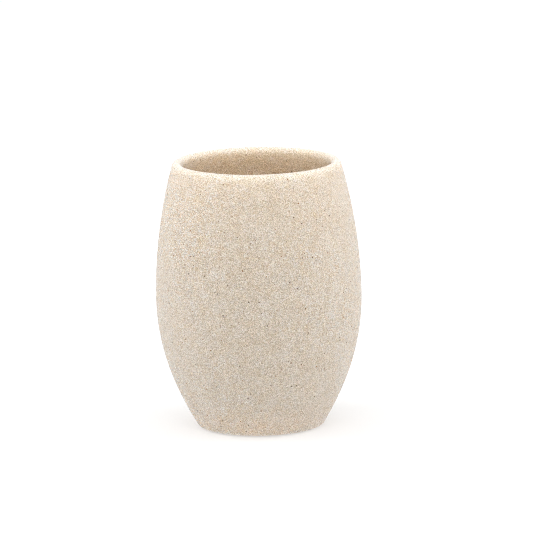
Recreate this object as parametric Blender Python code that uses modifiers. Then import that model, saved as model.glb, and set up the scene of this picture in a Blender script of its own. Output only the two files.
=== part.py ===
"""Toothbrush holder: a barrel-shaped tumbler, open at the top, cast in one piece in stone-effect
resin, standing on four small non-slip pads that sit in recesses of its ground underside.

Lengths are in metres and +Z is up. The origin lies under the middle of the tumbler, on the
surface that its pads stand on.
"""

import math

import bmesh
import bpy
from mathutils import Vector

# Outside of the casting, measured up from its ground underside
belly_height = 0.0511  # underside to the widest ring
shoulder_height = 0.0539  # widest ring to the top of the lip
belly_radius = 0.0404
foot_radius = 0.0247  # where the outer wall runs out at the underside
mouth_radius = 0.0328  # where the outer wall runs out level with the lip
base_edge_radius = 0.0012  # the broken edge round the underside

# Wall and floor of the casting
wall_thickness = 0.0040
floor_thickness = 0.0070
floor_fillet_radius = 0.0080

# Non-slip pads, each stuck into a shallow round recess of the underside
pad_radius = 0.0040
pad_thickness = 0.0015
pad_edge_radius = 0.0003
pad_stand = 0.0005  # how far a pad stands out of the underside
pad_clearance = 0.0003  # the adhesive above a pad, and the gap round it
recess_land = 0.0025  # flat left between a recess and the broken edge

# Overrun of the cutters past the face they cut
cutter_overrun = 0.0010

# Curvature of the outer wall: 2 draws it in like a parabola, above the belly and below it
lower_wall_power = 2.0
upper_wall_power = 2.0

# Fineness of the turned surfaces
turn_steps = 64
pad_turn_steps = 32
outer_wall_segments = 22
inner_wall_segments = 16
lip_segments = 10
fillet_segments = 5
base_edge_segments = 3
pad_edge_segments = 3
halvings = 50
seam_share = 0.005  # of the broken edge: points of a turned seam nearer than this are one point
sharpest_smooth_angle = math.radians(35)

# Sizes that follow from the ones above
cup_height = belly_height + shoulder_height
lip_radius = wall_thickness / 2
recess_radius = pad_radius + pad_clearance
recess_depth = pad_thickness + pad_clearance - pad_stand

# Finishes: linear colour with alpha, and roughness
stone_resin_finish = ((0.62, 0.53, 0.42, 1.0), 0.85)
pad_finish = ((0.72, 0.71, 0.67, 1.0), 0.6)

# The pads by name, each with the side of the X and Y axes that it lies on
pad_corners = {
    "foot_pad_front_left": (-1, -1),
    "foot_pad_front_right": (1, -1),
    "foot_pad_back_left": (-1, 1),
    "foot_pad_back_right": (1, 1),
}


def clear_scene():
    for obj in list(bpy.data.objects):
        bpy.data.objects.remove(obj, do_unlink=True)


def new_collection(name):
    collection = bpy.data.collections.new(name)
    bpy.context.scene.collection.children.link(collection)
    return collection


def plain_material(name, finish):
    """A Principled surface of one colour and roughness, with no metal in it."""
    color, roughness = finish
    material = bpy.data.materials.new(name)
    material.use_nodes = True
    shader = material.node_tree.nodes["Principled BSDF"]
    shader.inputs["Base Color"].default_value = color
    shader.inputs["Roughness"].default_value = roughness
    shader.inputs["Metallic"].default_value = 0.0
    material.diffuse_color = color
    return material


def outer_wall(height):
    """The outer wall at this height above the underside: its point, and the unit normal there."""
    if height <= belly_height:
        span, end_radius, power = -belly_height, foot_radius, lower_wall_power
    else:
        span, end_radius, power = shoulder_height, mouth_radius, upper_wall_power
    along = (height - belly_height) / span
    drop = belly_radius - end_radius
    radius = belly_radius - drop * along**power
    slope = -drop * power * along ** (power - 1) / span
    return Vector((radius, 0, height)), Vector((1, 0, -slope)).normalized()


def touching_circle(depth, centre_height):
    """A circle centred this deep inside the outer wall and at this height.

    Returns the height at which the wall is nearest to it, its centre, and the direction from the
    centre straight to the wall, in radians from level.
    """
    low = 0
    high = cup_height
    for _ in range(halvings):
        middle = (low + high) / 2
        point, normal = outer_wall(middle)
        centre = point - depth * normal
        if centre.z < centre_height:
            low = middle
        else:
            high = middle
    return middle, centre, math.atan2(normal.z, normal.x)


def arc(centre, radius, start, end, segments):
    """Points on a circle in the XZ plane, from one direction to another, both ends included."""
    angles = [start + (end - start) * i / segments for i in range(segments + 1)]
    return [centre + radius * Vector((math.cos(a), 0, math.sin(a))) for a in angles]


def wall_between(start_height, end_height, segments, depth):
    """Points between two heights of the outer wall, or as deep inside it, both ends left out."""
    points = []
    for i in range(1, segments):
        height = start_height + (end_height - start_height) * i / segments
        point, normal = outer_wall(height)
        points.append(point - depth * normal)
    return points


def cup_profile():
    """The casting's section: along the floor, up inside, over the lip, down outside, and under."""
    down = -math.pi / 2
    fillet_height, fillet_centre, fillet_angle = touching_circle(
        wall_thickness + floor_fillet_radius, floor_thickness + floor_fillet_radius
    )
    lip_height, lip_centre, lip_angle = touching_circle(lip_radius, cup_height - lip_radius)
    edge_height, edge_centre, edge_angle = touching_circle(base_edge_radius, base_edge_radius)
    points = [Vector((0, 0, floor_thickness))]
    points += arc(fillet_centre, floor_fillet_radius, down, fillet_angle, fillet_segments)
    points += wall_between(fillet_height, lip_height, inner_wall_segments, wall_thickness)
    points += arc(lip_centre, lip_radius, lip_angle + math.pi, lip_angle, lip_segments)
    points += wall_between(lip_height, edge_height, outer_wall_segments, 0)
    points += arc(edge_centre, base_edge_radius, edge_angle, down, base_edge_segments)
    points += [Vector((0, 0, 0))]
    return points


def pad_profile():
    """Half a pad's section, from its stuck face down its side to its standing face."""
    edge_centre = Vector((pad_radius - pad_edge_radius, 0, pad_edge_radius))
    points = [Vector((0, 0, pad_thickness)), Vector((pad_radius, 0, pad_thickness))]
    points += arc(edge_centre, pad_edge_radius, 0, -math.pi / 2, pad_edge_segments)
    points += [Vector((0, 0, 0))]
    return points


def turned_mesh(name, profile, steps):
    """A closed solid turned round the Z axis from a section that starts and ends on the axis."""
    outline = bpy.data.meshes.new(name + "_profile")
    joins = [(i, i + 1) for i in range(len(profile) - 1)]
    outline.from_pydata(profile, joins, [])
    blank = bpy.data.objects.new(name + "_blank", outline)
    bpy.context.scene.collection.objects.link(blank)
    screw = blank.modifiers.new("Turn", "SCREW")
    screw.steps = steps
    screw.render_steps = steps
    screw.use_merge_vertices = True
    screw.merge_threshold = base_edge_radius * seam_share
    mesh = evaluated_mesh(blank)
    mesh.name = name
    bpy.data.objects.remove(blank, do_unlink=True)
    bpy.data.meshes.remove(outline)
    return mesh


def evaluated_mesh(obj):
    """A copy of the object's mesh with its modifiers in it."""
    bpy.context.view_layer.update()
    graph = bpy.context.evaluated_depsgraph_get()
    return bpy.data.meshes.new_from_object(obj.evaluated_get(graph))


def shade_round(mesh):
    """Smooth shading across gentle bends, with the true edges left crisp."""
    mesh.shade_smooth()
    mesh.set_sharp_from_angle(angle=sharpest_smooth_angle)


def pad_place(corner):
    """Middle of a pad's standing face, drawn in from the underside's broken edge."""
    _, edge_centre, _ = touching_circle(base_edge_radius, base_edge_radius)
    reach = edge_centre.x - recess_land - recess_radius
    return Vector((corner[0], corner[1], 0)).normalized() * reach


def add_recess_cutter(name, place, cutters):
    """A cylinder that reaches from below the underside to the recess's ceiling."""
    mesh = bpy.data.meshes.new(name)
    shape = bmesh.new()
    bmesh.ops.create_cone(
        shape,
        cap_ends=True,
        segments=pad_turn_steps,
        radius1=recess_radius,
        radius2=recess_radius,
        depth=recess_depth + cutter_overrun,
    )
    shape.to_mesh(mesh)
    shape.free()
    cutter = bpy.data.objects.new(name, mesh)
    cutter.location = place + Vector((0, 0, pad_stand + (recess_depth - cutter_overrun) / 2))
    cutter.hide_render = True
    cutter.display_type = "WIRE"
    cutters.objects.link(cutter)
    return cutter


def add_cup(parts, cutters):
    """The casting, lifted by the pads, with a recess cut for each of them."""
    cup = bpy.data.objects.new("cup", turned_mesh("cup", cup_profile(), turn_steps))
    cup.location.z = pad_stand
    parts.objects.link(cup)
    for pad_name, corner in pad_corners.items():
        cutter = add_recess_cutter(pad_name + "_recess", pad_place(corner), cutters)
        recess = cup.modifiers.new(cutter.name, "BOOLEAN")
        recess.operation = "DIFFERENCE"
        recess.solver = "EXACT"
        recess.object = cutter
    turned = cup.data
    cup.data = evaluated_mesh(cup)
    cup.modifiers.clear()
    bpy.data.meshes.remove(turned)
    shade_round(cup.data)
    cup.data.materials.append(plain_material("stone_effect_resin", stone_resin_finish))


def add_foot_pads(parts):
    """Four pads of one mesh, standing on the floor under the casting."""
    mesh = turned_mesh("foot_pad", pad_profile(), pad_turn_steps)
    shade_round(mesh)
    mesh.materials.append(plain_material("pad_rubber", pad_finish))
    for name, corner in pad_corners.items():
        pad = bpy.data.objects.new(name, mesh)
        pad.location = pad_place(corner)
        parts.objects.link(pad)


def main():
    clear_scene()
    parts = new_collection("toothbrush_holder")
    cutters = new_collection("recess_cutters")
    add_cup(parts, cutters)
    add_foot_pads(parts)


main()
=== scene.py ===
# %% [markdown]
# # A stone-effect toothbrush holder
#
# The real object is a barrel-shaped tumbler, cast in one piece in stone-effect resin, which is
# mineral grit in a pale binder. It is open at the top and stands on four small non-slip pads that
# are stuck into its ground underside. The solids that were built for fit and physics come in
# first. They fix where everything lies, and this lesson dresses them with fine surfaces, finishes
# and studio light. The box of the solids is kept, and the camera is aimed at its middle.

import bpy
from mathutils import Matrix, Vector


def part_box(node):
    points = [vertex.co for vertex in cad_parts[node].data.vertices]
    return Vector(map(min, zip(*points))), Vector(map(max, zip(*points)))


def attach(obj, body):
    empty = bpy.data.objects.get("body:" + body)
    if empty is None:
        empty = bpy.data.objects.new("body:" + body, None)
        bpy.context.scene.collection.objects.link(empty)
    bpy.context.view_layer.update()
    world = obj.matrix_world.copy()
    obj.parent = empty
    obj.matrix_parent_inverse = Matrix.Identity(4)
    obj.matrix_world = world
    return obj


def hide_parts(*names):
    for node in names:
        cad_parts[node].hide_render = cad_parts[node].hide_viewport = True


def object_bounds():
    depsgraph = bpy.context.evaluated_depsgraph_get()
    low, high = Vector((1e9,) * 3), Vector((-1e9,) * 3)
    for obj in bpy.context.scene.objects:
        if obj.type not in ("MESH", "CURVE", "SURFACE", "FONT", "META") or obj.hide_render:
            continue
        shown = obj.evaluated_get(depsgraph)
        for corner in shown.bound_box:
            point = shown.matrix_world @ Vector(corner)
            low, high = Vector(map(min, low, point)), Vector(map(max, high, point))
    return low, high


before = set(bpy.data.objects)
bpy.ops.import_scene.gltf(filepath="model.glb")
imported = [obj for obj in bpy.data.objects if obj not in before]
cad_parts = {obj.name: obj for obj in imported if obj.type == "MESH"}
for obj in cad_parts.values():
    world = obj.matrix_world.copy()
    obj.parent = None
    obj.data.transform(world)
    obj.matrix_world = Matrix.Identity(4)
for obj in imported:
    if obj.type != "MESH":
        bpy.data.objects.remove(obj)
solids_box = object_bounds()
print("solids:", ", ".join(sorted(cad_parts)))

# %% Blender's modules, and the unit
import math

import bpy
from mathutils import Quaternion, Vector
from mathutils.bvhtree import BVHTree

mm = 0.001
solids_height = solids_box[1].z - solids_box[0].z
print("one unit is a metre, so the tumbler is", round(solids_height / mm, 1), "mm tall")

# %% [markdown]
# ## The view
#
# The photograph was taken from over two metres away with a long lens, a little above the rim, so
# that the mouth shows as a flat ellipse. A camera could be aimed by eye with an empty to track.
# Here it is worked out: the distance, the tilt and the scale were measured from the outline in
# the photograph. The camera first looks straight at the middle of the tumbler, then rolls a
# little, because the photograph leans, and then turns until that middle shows at its own pixel.
# The camera's shift stays at zero, so any other view of the model is framed as it should be.

# %% The camera
picture_size = 540
axis_middle_pixel = (258.8, 292.7)
pixels_per_metre = 2541.6
camera_distance = 2.3
camera_elevation = math.radians(11.35)
camera_roll = math.radians(-1.087)
sensor_width = 36.0


def add_camera(target):
    """A camera that sees the target at its pixel of the photograph."""
    back = Vector((0, -math.cos(camera_elevation), math.sin(camera_elevation)))
    right_of_middle = axis_middle_pixel[0] - picture_size / 2
    below_middle = axis_middle_pixel[1] - picture_size / 2
    focal_length_in_pixels = camera_distance * pixels_per_metre
    seen_along = Vector((right_of_middle, -below_middle, -focal_length_in_pixels))
    straight = (-back).to_track_quat("-Z", "Y")
    rolled = straight @ Quaternion((0, 0, 1), camera_roll)
    aimed = rolled @ seen_along.rotation_difference(Vector((0, 0, -1)))
    place = target + back * camera_distance
    bpy.ops.object.camera_add(location=place, rotation=aimed.to_euler())
    camera = bpy.context.object
    camera.name = "studio_camera"
    camera.data.sensor_width = sensor_width
    camera.data.lens = sensor_width * focal_length_in_pixels / picture_size
    bpy.context.scene.camera = camera
    return camera


tumbler_middle = (solids_box[0] + solids_box[1]) / 2
studio_camera = add_camera(tumbler_middle)
print("lens", round(studio_camera.data.lens), "mm, height", round(studio_camera.location.z, 3), "m")

# %% [markdown]
# ## The casting's sizes
#
# The height of the casting and of its underside are read from the solids, so the fine surface
# can't drift from them. The other sizes are the ones that a mould maker would be given: the
# widest ring and how high it lies, the radii at foot and mouth, the wall, and the floor.

# %% Sizes of the casting
underside_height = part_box("cup")[0].z
casting_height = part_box("cup")[1].z - underside_height

belly_height = 51.1 * mm
belly_radius = 40.4 * mm
foot_radius = 24.7 * mm
mouth_radius = 32.8 * mm
wall_thickness = 4.0 * mm
lip_radius = wall_thickness / 2
floor_thickness = 7.0 * mm
floor_fillet_radius = 8.0 * mm
base_edge_radius = 1.2 * mm
print("casting:", round(casting_height / mm, 2), "mm tall")
print("its underside:", round(underside_height / mm, 2), "mm up")

# %% [markdown]
# ## The section of the casting
#
# A mould for such a tumbler is turned, so one section says it all. The outer wall is two
# parabolas that meet at the widest ring, and the inner wall runs beside it at an even distance.
# The lip is a full round, which is an arc that touches both walls. The floor's fillet and the
# broken edge of the foot are arcs that touch a wall and a level line. Such an arc's centre lies
# at a known depth inside the outer wall and at a known height, and halving finds it.

# %% The walls and the arcs of the section
halvings = 50


def outer_wall(height):
    """The outer wall at a height above the underside: the point there and its unit normal."""
    if height <= belly_height:
        span = -belly_height
        end_radius = foot_radius
    else:
        span = casting_height - belly_height
        end_radius = mouth_radius
    along = (height - belly_height) / span
    drop = belly_radius - end_radius
    slope = -2 * drop * along / span
    point = Vector((belly_radius - drop * along**2, 0, height))
    return point, Vector((1, 0, -slope)).normalized()


def touching_circle(depth, centre_height):
    """Where a circle this deep inside the wall touches it, the circle's centre, and the angle."""
    low = 0
    high = casting_height
    for _ in range(halvings):
        middle = (low + high) / 2
        point, normal = outer_wall(middle)
        centre = point - depth * normal
        if centre.z < centre_height:
            low = middle
        else:
            high = middle
    return middle, centre, math.atan2(normal.z, normal.x)


def arc(centre, radius, start, end, steps):
    """Points along an arc of the section, both ends included."""
    turns = [start + (end - start) * i / steps for i in range(steps + 1)]
    return [centre + radius * Vector((math.cos(turn), 0, math.sin(turn))) for turn in turns]


def wall(start_height, end_height, depth, steps):
    """Points along the wall, this deep inside its outer face, both ends left out."""
    points = []
    for i in range(1, steps):
        point, normal = outer_wall(start_height + (end_height - start_height) * i / steps)
        points.append(point - depth * normal)
    return points


print("wall at mid-height:", [round(c / mm, 2) for c in outer_wall(casting_height / 2)[0]], "mm")

# %% The whole section, from the middle of the floor over the lip to the middle of the underside
down = -math.pi / 2
floor_steps = 8
fillet_steps = 10
inner_wall_steps = 90
lip_steps = 18
outer_wall_steps = 130
base_edge_steps = 6


def casting_section():
    """All points of the section, in the order in which they are drawn."""
    fillet_height, fillet_centre, fillet_angle = touching_circle(
        wall_thickness + floor_fillet_radius, floor_thickness + floor_fillet_radius
    )
    lip_height, lip_centre, lip_angle = touching_circle(lip_radius, casting_height - lip_radius)
    edge_height, edge_centre, edge_angle = touching_circle(base_edge_radius, base_edge_radius)
    flat_floor = fillet_centre.x
    floor = [
        Vector((flat_floor * i / floor_steps, 0, floor_thickness)) for i in range(floor_steps)
    ]
    fillet = arc(fillet_centre, floor_fillet_radius, down, fillet_angle, fillet_steps)
    inside = wall(fillet_height, lip_height, wall_thickness, inner_wall_steps)
    lip = arc(lip_centre, lip_radius, lip_angle + math.pi, lip_angle, lip_steps)
    outside = wall(lip_height, edge_height, 0, outer_wall_steps)
    edge = arc(edge_centre, base_edge_radius, edge_angle, down, base_edge_steps)
    section = floor + fillet + inside + lip + outside + edge + [Vector((0, 0, 0))]
    return [point + Vector((0, 0, underside_height)) for point in section]


section = casting_section()
print("section of", len(section), "points, rim at", round(max(p.z for p in section) / mm, 2), "mm")

# %% [markdown]
# ## Turning the casting
#
# By hand, a lathe-turned shape starts as a single vertex: a small plane is added, merged to its
# middle, and extruded point by point along the section. The Spin tool can turn it, but a Screw
# modifier does the same faster at 256 steps. The modifier is applied, the ends on the axis are
# merged, and the normals are made to face outwards.

# %% Draw the section and turn it
turn_steps = 256
blank_size = 1.0 * mm
merge_distance = 0.01 * mm


def edit_everything(piece):
    """Starts edit mode on this piece alone, with all of it selected."""
    bpy.ops.object.select_all(action="DESELECT")
    piece.select_set(True)
    bpy.context.view_layer.objects.active = piece
    bpy.ops.object.mode_set(mode="EDIT")
    bpy.ops.mesh.select_all(action="SELECT")


def draw_section(name, points):
    """A chain of vertices, extruded from a plane that is merged to a single vertex."""
    bpy.ops.object.select_all(action="DESELECT")
    bpy.ops.mesh.primitive_plane_add(size=blank_size, location=points[0])
    chain = bpy.context.object
    chain.name = name
    edit_everything(chain)
    bpy.ops.mesh.merge(type="CENTER")
    for here, there in zip(points, points[1:]):
        bpy.ops.mesh.extrude_vertices_move(TRANSFORM_OT_translate={"value": there - here})
    bpy.ops.object.mode_set(mode="OBJECT")
    bpy.ops.object.transform_apply(location=True, rotation=True, scale=True)
    return chain


def turn_section(piece, steps):
    """Turns the section once round the upright axis, and closes it."""
    turn = piece.modifiers.new("Turn", "SCREW")
    turn.steps = steps
    turn.render_steps = steps
    turn.use_merge_vertices = True
    turn.merge_threshold = merge_distance
    bpy.ops.object.modifier_apply(modifier=turn.name)
    edit_everything(piece)
    bpy.ops.mesh.remove_doubles(threshold=merge_distance)
    bpy.ops.mesh.normals_make_consistent(inside=False)
    bpy.ops.object.mode_set(mode="OBJECT")


tumbler = draw_section("tumbler_casting", section)
turn_section(tumbler, turn_steps)
print("turned casting:", len(tumbler.data.polygons), "faces")

# %% [markdown]
# ## The skin of the casting
#
# No casting is dead true: the mould's polish and the resin's shrinkage leave the skin uneven by
# a few hundredths of a millimetre over the width of a fingertip. It shows as a slight waver of
# the light along the lip. Sculpting would do it too, but a Displace modifier with a cloud
# texture is even all round, and is applied so that the relief is in the mesh. The underside is
# ground flat after casting, so it is left out by a vertex group.

# %% Uneven skin
skin_relief = 0.05 * mm
skin_wave_length = 5.0 * mm
skin_wave_layers = 1
whole_relief = 1.0


def make_skin_uneven(piece):
    """Displaces the cast skin a little, and says how many vertices that moved."""
    ground_limit = underside_height + base_edge_radius
    cast_skin = [v.index for v in piece.data.vertices if v.co.z > ground_limit]
    group = piece.vertex_groups.new(name="cast_skin")
    group.add(cast_skin, whole_relief, "REPLACE")
    clouds = bpy.data.textures.new("mould_unevenness", "CLOUDS")
    clouds.noise_scale = skin_wave_length
    clouds.noise_depth = skin_wave_layers
    relief = piece.modifiers.new("Relief", "DISPLACE")
    relief.texture = clouds
    relief.texture_coords = "LOCAL"
    relief.direction = "NORMAL"
    relief.strength = skin_relief
    relief.vertex_group = group.name
    bpy.ops.object.modifier_apply(modifier=relief.name)
    return len(cast_skin)


print("uneven skin on", make_skin_uneven(tumbler), "vertices")

# %% [markdown]
# ## Recesses for the pads
#
# Each pad is stuck into a shallow round recess, so that only a third of it stands out. An inset
# and an extrusion could sink a recess, but the underside's faces meet in a fan that doesn't
# follow the four circles, so a Boolean with four short cylinders is used. The recess is as wide
# as the pad with its clearance, and its ceiling lies one adhesive film above the pad.

# %% Cut the recesses
pad_names = [
    "foot_pad_front_left",
    "foot_pad_front_right",
    "foot_pad_back_left",
    "foot_pad_back_right",
]
pad_clearance = 0.3 * mm
recess_steps = 96
cutter_overrun = 1.0 * mm
smooth_limit = math.radians(40)


def cut_recesses(piece):
    """Sinks one round recess for each pad into the underside."""
    bpy.ops.object.select_all(action="DESELECT")
    cutters = []
    for name in pad_names:
        low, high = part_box(name)
        ceiling = high.z + pad_clearance
        start = underside_height - cutter_overrun
        bpy.ops.mesh.primitive_cylinder_add(
            vertices=recess_steps,
            radius=(high.x - low.x) / 2 + pad_clearance,
            depth=ceiling - start,
            location=((low.x + high.x) / 2, (low.y + high.y) / 2, (ceiling + start) / 2),
        )
        cutters.append(bpy.context.object)
    for cutter in cutters:
        cutter.select_set(True)
    bpy.ops.object.join()
    cutter = bpy.context.object
    bpy.ops.object.select_all(action="DESELECT")
    piece.select_set(True)
    bpy.context.view_layer.objects.active = piece
    recess = piece.modifiers.new("Recesses", "BOOLEAN")
    recess.operation = "DIFFERENCE"
    recess.solver = "EXACT"
    recess.object = cutter
    bpy.ops.object.modifier_apply(modifier=recess.name)
    bpy.data.objects.remove(cutter, do_unlink=True)
    bpy.ops.object.shade_smooth_by_angle(angle=smooth_limit)


cut_recesses(tumbler)
print("recessed casting:", len(tumbler.data.polygons), "faces")

# %% [markdown]
# ## Does it follow the solid?
#
# The fine surface stands in for the plain solid, so it has to lie on it. The distance from every
# vertex of the solid to the fine mesh is measured. It should be no more than the relief.

# %% Measure the casting against its solid


def largest_distance(solid, piece):
    """How far the solid's vertices lie from the piece's surface, at most."""
    surface = BVHTree.FromObject(piece, bpy.context.evaluated_depsgraph_get())
    farthest = 0
    for vertex in solid.data.vertices:
        _, _, _, distance = surface.find_nearest(vertex.co)
        farthest = max(farthest, distance)
    return farthest


casting_error = largest_distance(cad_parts["cup"], tumbler)
print("solid and casting differ by at most", round(casting_error / mm, 3), "mm")

# %% [markdown]
# ## A non-slip pad
#
# The pads are small discs, punched from a sheet of milky rubber foam that has its adhesive film
# on the back. A cylinder is only the blank: its lower rim is rounded by a bevel, its standing
# face is dished by an inset that is moved up a little, because such a pad sinks in its middle,
# and an inset of its top face is extruded up as the film. One pad is made and copied to the
# other three places, each copy with its own mesh.

# %% Model one pad and copy it
pad_steps = 64
pad_edge_radius = 0.3 * mm
pad_edge_steps = 4
pad_rim_width = 0.9 * mm
pad_dish = 0.06 * mm
film_setback = 0.12 * mm
film_gap = 0.01 * mm
level_limit = 0.99


def select_level_face(piece, height):
    """Selects the largest level face at this height, in edit mode."""
    bpy.ops.mesh.select_all(action="DESELECT")
    bpy.ops.object.mode_set(mode="OBJECT")
    faces = [f for f in piece.data.polygons if abs(f.normal.z) > level_limit]
    nearest = min(faces, key=lambda f: (round(abs(f.center.z - height) / merge_distance), -f.area))
    nearest.select = True
    bpy.ops.object.mode_set(mode="EDIT")


def model_pad(name, solid_name):
    """One pad with its rounded rim, dished face and film, in the place of its solid."""
    low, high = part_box(solid_name)
    middle = (low + high) / 2
    bpy.ops.object.select_all(action="DESELECT")
    bpy.ops.mesh.primitive_cylinder_add(
        vertices=pad_steps,
        radius=(high.x - low.x) / 2,
        depth=high.z - low.z,
        location=middle,
    )
    pad = bpy.context.object
    pad.name = name
    bpy.ops.object.transform_apply(location=True, rotation=True, scale=True)
    edit_everything(pad)
    bpy.ops.mesh.select_mode(type="FACE")
    select_level_face(pad, low.z)
    bpy.ops.mesh.bevel(offset=pad_edge_radius, segments=pad_edge_steps, affect="EDGES")
    select_level_face(pad, low.z)
    bpy.ops.mesh.inset(thickness=pad_rim_width)
    bpy.ops.transform.translate(value=(0, 0, pad_dish))
    select_level_face(pad, high.z)
    bpy.ops.mesh.inset(thickness=film_setback)
    bpy.ops.mesh.extrude_region_move(
        TRANSFORM_OT_translate={"value": (0, 0, pad_clearance - film_gap)}
    )
    bpy.ops.object.mode_set(mode="OBJECT")
    bpy.ops.object.shade_smooth_by_angle(angle=smooth_limit)
    return pad


def copy_pad(pad, name, solid_name, copied_from):
    """The pad with a mesh of its own, moved in its mesh from one solid's place to another's."""
    copy = pad.copy()
    copy.data = pad.data.copy()
    copy.name = name
    bpy.context.scene.collection.objects.link(copy)
    copy.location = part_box(solid_name)[0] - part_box(copied_from)[0]
    bpy.ops.object.select_all(action="DESELECT")
    copy.select_set(True)
    bpy.context.view_layer.objects.active = copy
    bpy.ops.object.transform_apply(location=True, rotation=True, scale=True)
    return copy


first_pad = model_pad("non_slip_" + pad_names[0], pad_names[0])
pads = [first_pad]
for pad_name in pad_names[1:]:
    pads.append(copy_pad(first_pad, "non_slip_" + pad_name, pad_name, pad_names[0]))
print("pads:", [pad.name for pad in pads], "of", len(first_pad.data.polygons), "faces each")

# %% [markdown]
# ## Sums on shader sockets
#
# A procedural finish is mostly arithmetic. The Math nodes for it could be added one by one, but
# a sum made of many nodes is hard to read. The small class below wraps an output socket, so that
# a sum is written as on a number, and adds the Math nodes itself. Most nodes take their inputs at
# the first two sockets and give their result at the first one.

# %% A helper for sums
first_entry = 0
second_entry = 1
result = 0


class Signal:
    """An output socket, on which sums are written as on a number."""

    def __init__(self, socket):
        self.socket = socket

    def __getitem__(self, name):
        """Another output of the same node."""
        return Signal(self.socket.node.outputs[name])

    def math(self, operation, first, second):
        """Adds one Math node."""
        node = self.socket.id_data.nodes.new("ShaderNodeMath")
        node.operation = operation
        wire(first, node.inputs[first_entry])
        wire(second, node.inputs[second_entry])
        return Signal(node.outputs[result])

    def __add__(self, other):
        return self.math("ADD", self, other)

    def __radd__(self, other):
        return self.math("ADD", other, self)

    def __sub__(self, other):
        return self.math("SUBTRACT", self, other)

    def __rsub__(self, other):
        return self.math("SUBTRACT", other, self)

    def __mul__(self, other):
        return self.math("MULTIPLY", self, other)

    def __rmul__(self, other):
        return self.math("MULTIPLY", other, self)

    def __lt__(self, other):
        return self.math("LESS_THAN", self, other)

    def __gt__(self, other):
        return self.math("GREATER_THAN", self, other)


def wire(value, entry):
    """Links a signal to an input socket, or sets the socket to a plain value."""
    if isinstance(value, Signal):
        value.socket.id_data.links.new(value.socket, entry)
    else:
        entry.default_value = value


print("sockets can be added, subtracted, multiplied and compared")

# %% [markdown]
# ## A material, node by node
#
# In the node editor a material grows by adding a node, setting it, and drawing its links. The
# class below does the same three things in one method, and has a short name for each kind of
# node that the finishes use. Colours go through Mix nodes and places through Vector Math, since
# a Math node would turn them into one number.

# %% A helper for materials
middle_lot = 0.5
mix_factor = 0
mix_below = 6
mix_above = 7
mixed_colour = 2
fully = 1.0


class Finish:
    """A material that is built up node by node."""

    def __init__(self, name, **constants):
        self.material = bpy.data.materials.new(name)
        self.material.use_nodes = True
        self.tree = self.material.node_tree
        self.shader = self.tree.nodes["Principled BSDF"]
        for socket, value in constants.items():
            self.set(socket.replace("_", " "), value)

    def set(self, socket, value):
        """Gives a value or a signal to a socket of the shader."""
        wire(value, self.shader.inputs[socket])

    def node(self, kind, settings, entries):
        """Adds a node, with its settings first and then the values or links of its sockets."""
        node = self.tree.nodes.new(kind)
        for name, value in settings.items():
            setattr(node, name, value)
        for name, value in entries.items():
            wire(value, node.inputs[name])
        return Signal(node.outputs[result])

    def mix(self, blend, factor, below, above):
        """One colour laid over another by a Mix node, whose sockets for colours have numbers."""
        mixed = self.node(
            "ShaderNodeMix",
            {"data_type": "RGBA", "blend_type": blend},
            {mix_factor: factor, mix_below: below, mix_above: above},
        )
        return mixed[mixed_colour]

    def step(self, value, start, end):
        """Rises smoothly from 0 at the start value to 1 at the end value."""
        return self.node(
            "ShaderNodeMapRange",
            {"interpolation_type": "SMOOTHSTEP"},
            {"Value": value, "From Min": start, "From Max": end},
        )

    def place(self):
        """The point's own place on the piece."""
        return self.node("ShaderNodeTexCoord", {}, {})["Object"]

    def shift(self, vector, offset, amount):
        """A vector moved by an offset, which is centred and scaled first."""
        middle = (middle_lot, middle_lot, middle_lot)
        centred = self.node(
            "ShaderNodeVectorMath",
            {"operation": "SUBTRACT"},
            {first_entry: offset, second_entry: middle},
        )
        scaled = self.node(
            "ShaderNodeVectorMath",
            {"operation": "SCALE"},
            {first_entry: centred, "Scale": amount},
        )
        return self.node(
            "ShaderNodeVectorMath",
            {"operation": "ADD"},
            {first_entry: vector, second_entry: scaled},
        )

    def noise(self, vector, size):
        """Cloudy noise whose clouds are about this wide."""
        return self.node("ShaderNodeTexNoise", {}, {"Vector": vector, "Scale": 1 / size})

    def grains(self, vector, size):
        """Grains about this wide: a distance from each grain's middle, and a colour for each."""
        return self.node("ShaderNodeTexVoronoi", {}, {"Vector": vector, "Scale": 1 / size})

    def grain_edges(self, vector, size):
        """The distance to the nearest border between the same grains."""
        return self.node(
            "ShaderNodeTexVoronoi",
            {"feature": "DISTANCE_TO_EDGE"},
            {"Vector": vector, "Scale": 1 / size},
        )

    def raise_by(self, height):
        """Shades the surface as if it stood out by this height in metres."""
        height_in_full = {"Height": height, "Distance": fully, "Strength": fully}
        self.set("Normal", self.node("ShaderNodeBump", {}, height_in_full))

    def chances(self, colour):
        """The three numbers between 0 and 1 that a colour drawn by lot holds."""
        drawn = self.node("ShaderNodeSeparateColor", {}, {"Color": colour})
        return drawn["Red"], drawn["Green"], drawn["Blue"]


print("a finish can:", ", ".join(name for name in vars(Finish) if "__" not in name))

# %% [markdown]
# ## Stone-effect resin
#
# Up close the casting is sand: grains of quartz and feldspar, a fifth of a millimetre wide, each
# of one tone, bedded in a slightly darker binder. An image of sand could be wrapped round the
# tumbler, but it would need seams and would smear at the poles. Voronoi cells in solid space are
# the grains instead, so they run through the wall as in the real casting. Each cell draws three
# numbers by lot. The first sets how light the grain is, and the darker grains are the browner
# ones. The second sets whether it leans to ochre or to slate, and the third whether it leans to
# rose, as feldspar does, or to olive. Wider cells and a soft cloudy noise shift the first two of
# these lots, since real grit clumps. Specks of black mica and of rust are rare and of many sizes,
# so they have sparse cells of their own, of which a few show a speck in their middle.

# %% The colours of the grit
grain_size = 0.20 * mm
clump_size = 1.2 * mm
drift_size = 5.0 * mm
grain_warp_size = 0.5 * mm
grain_warp = 0.15 * mm
clump_tone_share = 0.05
drift_tone_share = 0.15
clump_hue_share = 0.38
drift_hue_share = 0.60

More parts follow.
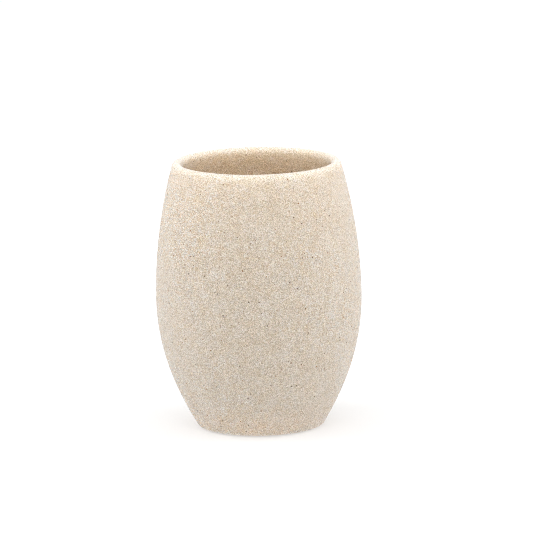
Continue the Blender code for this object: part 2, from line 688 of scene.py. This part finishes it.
darkest_grit = (0.466, 0.375, 0.290, 1)
lightest_grit = (0.947, 0.870, 0.832, 1)
ochre_tint = (0.995, 0.966, 0.871, 1)
slate_tint = (0.949, 0.980, 0.989, 1)
rose_tint = (1.0, 0.948, 0.987, 1)
olive_tint = (0.982, 1.0, 0.968, 1)
binder_tone = (0.90, 0.88, 0.85, 1)
binder_width = 0.12

speck_spacing = 1.0 * mm
speck_radius = 0.20 * mm
smallest_speck_share = 0.5
mica_black = (0.200, 0.140, 0.105, 1)
mica_share = 0.05
rust_brown = (0.30, 0.16, 0.08, 1)
rust_share = 0.025


def stone_colour(finish, bedded, grain, edge):
    """The colour of the grit at a point of the casting."""
    tone_lot, hue_lot, rose_lot = finish.chances(grain["Color"])
    clump_tone, clump_hue, _ = finish.chances(finish.grains(bedded, clump_size)["Color"])
    drift = finish.noise(bedded, drift_size) - middle_lot
    tone = tone_lot + (clump_tone - middle_lot) * clump_tone_share + drift * drift_tone_share
    hue = hue_lot + (clump_hue - hue_lot) * clump_hue_share - drift * drift_hue_share
    grit = finish.mix("MIX", tone, darkest_grit, lightest_grit)
    tint = finish.mix("MIX", hue, slate_tint, ochre_tint)
    mineral = finish.mix("MIX", rose_lot, olive_tint, rose_tint)
    leaning = finish.mix("MULTIPLY", fully, grit, tint)
    tinted = finish.mix("MULTIPLY", fully, leaning, mineral)
    bound = finish.mix("MULTIPLY", 1 - finish.step(edge, 0.0, binder_width), tinted, binder_tone)

    specks = finish.grains(bedded, speck_spacing)
    mineral_lot, size_lot, _ = finish.chances(specks["Color"])
    near_middle = specks < (size_lot + smallest_speck_share) * (speck_radius / speck_spacing)
    with_rust = finish.mix("MIX", near_middle * (mineral_lot > 1 - rust_share), bound, rust_brown)
    return finish.mix("MIX", near_middle * (mineral_lot < mica_share), with_rust, mica_black)


# %% [markdown]
# ## The feel of the stone
#
# The colour alone would look printed. The real skin is matt and sandy, so each grain stands a
# few hundredths of a millimetre out of the binder, and some shine a little more than others. A
# Bump node turns the grains' height into shading. The lip is rubbed smooth, so the relief fades
# there and the roughness falls. The ground underside lacks the relief too: it is flat, a shade
# paler with dust, and marked by the straight scratches of the sanding belt. Height tells these
# places apart, because the lip is the highest part of the casting and the underside the lowest.
#
# Pale grit in resin isn't opaque. Light that enters it is scattered for centimetres before it
# comes out again, which makes the thin wall at the mouth glow and lets the shade inside fall off
# softly. A translucent shader could show a glow too, but only for light from straight behind, so
# the subsurface of the main shader is used. Red light travels furthest in it, as the warmer
# colour deep in the mouth shows.

# %% The casting's finish
grain_height = 0.05 * mm
grain_shoulder = 0.3
grain_roughness = 0.62
roughness_spread = 0.2
rim_height = underside_height + casting_height
polish_depth = 2.2 * mm
lip_roughness = 0.30
scratch_length = 9.0 * mm
scratch_width = 0.12 * mm
scratch_depth = 0.02 * mm
ground_depth = 0.02 * mm
ground_dust = (0.86, 0.80, 0.70, 1)
dust_cover = 0.35
glow_reach = (1.0, 0.84, 0.70)
glow_scale = 19.5 * mm
glow_share = 1.0
resin_ior = 1.5
sand_sheen = 0.35
sand_sheen_roughness = 0.5


def stone_finish():
    """Sandy, translucent resin with a polished lip and a ground underside."""
    finish = Finish(
        "stone_effect_resin",
        IOR=resin_ior,
        Sheen_Weight=sand_sheen,
        Sheen_Roughness=sand_sheen_roughness,
        Subsurface_Weight=glow_share,
        Subsurface_Radius=glow_reach,
        Subsurface_Scale=glow_scale,
    )
    place = finish.place()
    warp = finish.noise(place, grain_warp_size)["Color"]
    bedded = finish.shift(place, warp, grain_warp)
    grain = finish.grains(bedded, grain_size)
    edge = finish.grain_edges(bedded, grain_size)
    height = finish.node("ShaderNodeSeparateXYZ", {}, {"Vector": place})["Z"]
    ground = height < underside_height + ground_depth
    polished = finish.step(height, rim_height - polish_depth, rim_height)

    colour = stone_colour(finish, bedded, grain, edge)
    finish.set("Base Color", finish.mix("MIX", ground * dust_cover, colour, ground_dust))

    _, shine_lot, _ = finish.chances(grain["Color"])
    matt = grain_roughness + shine_lot * roughness_spread
    finish.set("Roughness", matt + (lip_roughness - matt) * polished)

    along_belt = finish.node(
        "ShaderNodeMapping",
        {},
        {"Vector": place, "Scale": (scratch_width / scratch_length, 1, 1)},
    )
    scratches = finish.noise(along_belt, scratch_width)
    standing = finish.step(edge, 0.0, grain_shoulder) * grain_height * (1 - ground)
    finish.raise_by(standing * (1 - polished) + scratches * scratch_depth * ground)
    return finish.material


stone = stone_finish()
tumbler.data.materials.clear()
tumbler.data.materials.append(stone)
print("stone finish:", len(stone.node_tree.nodes), "nodes")

# %% [markdown]
# ## Rubber foam and adhesive film
#
# The pads are milky, closed-cell foam rubber: soft to look at, with pores a tenth of a
# millimetre wide. The film on their back is a clear yellowish acrylic, seen only as a bright
# line in the joint. Both are simple enough for a noise or a few cells each.

# %% The pads' finishes
foam_colour = (0.72, 0.71, 0.67, 1)
foam_shadow = (0.60, 0.59, 0.54, 1)
pore_size = 0.11 * mm
pore_depth = 0.012 * mm
pore_floor = 0.1
pore_rim = 0.6
foam_cloud_size = 1.6 * mm
foam_cloud_share = 0.6
foam_roughness = 0.6
foam_sheen = 0.1
film_colour = (0.78, 0.74, 0.60, 1)
film_ripple_size = 0.6 * mm
film_ripple = 0.01 * mm
film_haze_share = 0.3
film_roughness = 0.2
film_ior = 1.47


def foam_finish():
    """Milky foam rubber with fine pores."""
    finish = Finish("pad_rubber", Roughness=foam_roughness, Sheen_Weight=foam_sheen)
    place = finish.place()
    pores = finish.grains(place, pore_size)
    clouds = finish.noise(place, foam_cloud_size)
    finish.set("Base Color", finish.mix("MIX", clouds * foam_cloud_share, foam_colour, foam_shadow))
    finish.raise_by(finish.step(pores, pore_floor, pore_rim) * pore_depth)
    return finish.material


def film_finish():
    """The pads' clear adhesive, faintly rippled."""
    finish = Finish("adhesive_film", Roughness=film_roughness, IOR=film_ior)
    place = finish.place()
    ripple = finish.noise(place, film_ripple_size)
    finish.set("Base Color", finish.mix("MIX", ripple * film_haze_share, film_colour, foam_colour))
    finish.raise_by(ripple * film_ripple)
    return finish.material


foam = foam_finish()
film = film_finish()
foam_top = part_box(pad_names[0])[1].z
for pad in pads:
    pad.data.materials.clear()
    pad.data.materials.append(foam)
    pad.data.materials.append(film)
    for face in pad.data.polygons:
        face.material_index = int(face.center.z > foam_top + film_gap)
print("film faces on each pad:", sum(face.material_index for face in first_pad.data.polygons))

# %% [markdown]
# ## The studio
#
# The photograph has almost no shadow, and not even a dark line where the foot stands: the
# tumbler stood in a light tent, on a table of milky acrylic that is lit from below. So the world
# is an even white, as a tent's cloth is, and the floor is a plane that glows a little. It isn't
# part of the object. The tumbler is lighter at both sides than in its middle, so a large softbox
# stands to the left and one to the right, high enough to shine over the rim. A third hangs above
# the camera. A small one in front stands low, under the camera's line of sight, so that it lights
# the belly and leaves the mouth in shade. One strong lamp overhead would be simpler, but it would
# draw a hard shadow into the mouth.
#
# The picture is developed with more contrast than the light alone gives, as a photographer does
# for a catalogue, by the gamma of the view. The tent and the table shine evenly, so the rays that
# leave the stone find them by themselves, and only the softboxes are aimed at, which leaves less
# noise. Two more settings keep the sand crisp: the pixel filter is narrow, and the denoiser takes
# the stone's colour as it is instead of smoothing it first.

# %% Floor, world and softboxes
floor_width = 12.0
floor_tone = (0.45, 0.45, 0.45, 1)
floor_roughness = 0.9
floor_gloss = 0.0
floor_glow = 0.50
white = (1, 1, 1, 1)
world_strength = 1.02
pixel_filter_width = 1.0
contrast = 1.45
softboxes = {
    "softbox_left": {"place": Vector((-1.2, 0, 1.2)), "width": 1.0, "watts": 5.6},
    "softbox_right": {"place": Vector((1.35, 0, 1.0)), "width": 1.0, "watts": 5.4},
    "softbox_above": {"place": Vector((0, -1.3, 1.6)), "width": 1.0, "watts": 4.8},
    "softbox_front": {"place": Vector((0, -1.9, 0.25)), "width": 0.25, "watts": 7.0},
}


def add_floor():
    """A wide, softly glowing table top under the tumbler."""
    bpy.ops.object.select_all(action="DESELECT")
    bpy.ops.mesh.primitive_plane_add(size=floor_width, location=(0, 0, 0))
    floor = bpy.context.object
    floor.name = "studio_floor"
    table = Finish(
        "light_table",
        Base_Color=floor_tone,
        Roughness=floor_roughness,
        Specular_IOR_Level=floor_gloss,
        Emission_Color=white,
        Emission_Strength=floor_glow,
    )
    table.material.cycles.emission_sampling = "NONE"
    floor.data.materials.append(table.material)
    return floor


def add_world():
    """An even white surround."""
    world = bpy.data.worlds.new("light_tent")
    world.use_nodes = True
    background = world.node_tree.nodes["Background"]
    background.inputs["Color"].default_value = white
    background.inputs["Strength"].default_value = world_strength
    world.cycles.sampling_method = "NONE"
    bpy.context.scene.world = world


def add_softbox(name, place, aim, width, watts):
    """A square light at a place, turned to shine at the aim."""
    turned = (aim - place).to_track_quat("-Z", "Y").to_euler()
    bpy.ops.object.light_add(type="AREA", location=place, rotation=turned)
    softbox = bpy.context.object
    softbox.name = name
    softbox.data.shape = "SQUARE"
    softbox.data.size = width
    softbox.data.energy = watts


studio_floor = add_floor()
add_world()
for softbox_name, softbox in softboxes.items():
    add_softbox(softbox_name, softbox["place"], tumbler_middle, softbox["width"], softbox["watts"])
bpy.context.scene.view_settings.view_transform = "Standard"
bpy.context.scene.view_settings.gamma = 1 / contrast
bpy.context.scene.cycles.filter_width = pixel_filter_width
bpy.context.scene.cycles.denoising_prefilter = "NONE"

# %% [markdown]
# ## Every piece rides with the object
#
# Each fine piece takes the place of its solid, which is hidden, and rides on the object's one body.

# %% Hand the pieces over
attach(tumbler, "root")
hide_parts("cup")
for pad, pad_name in zip(pads, pad_names):
    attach(pad, "root")
    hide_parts(pad_name)
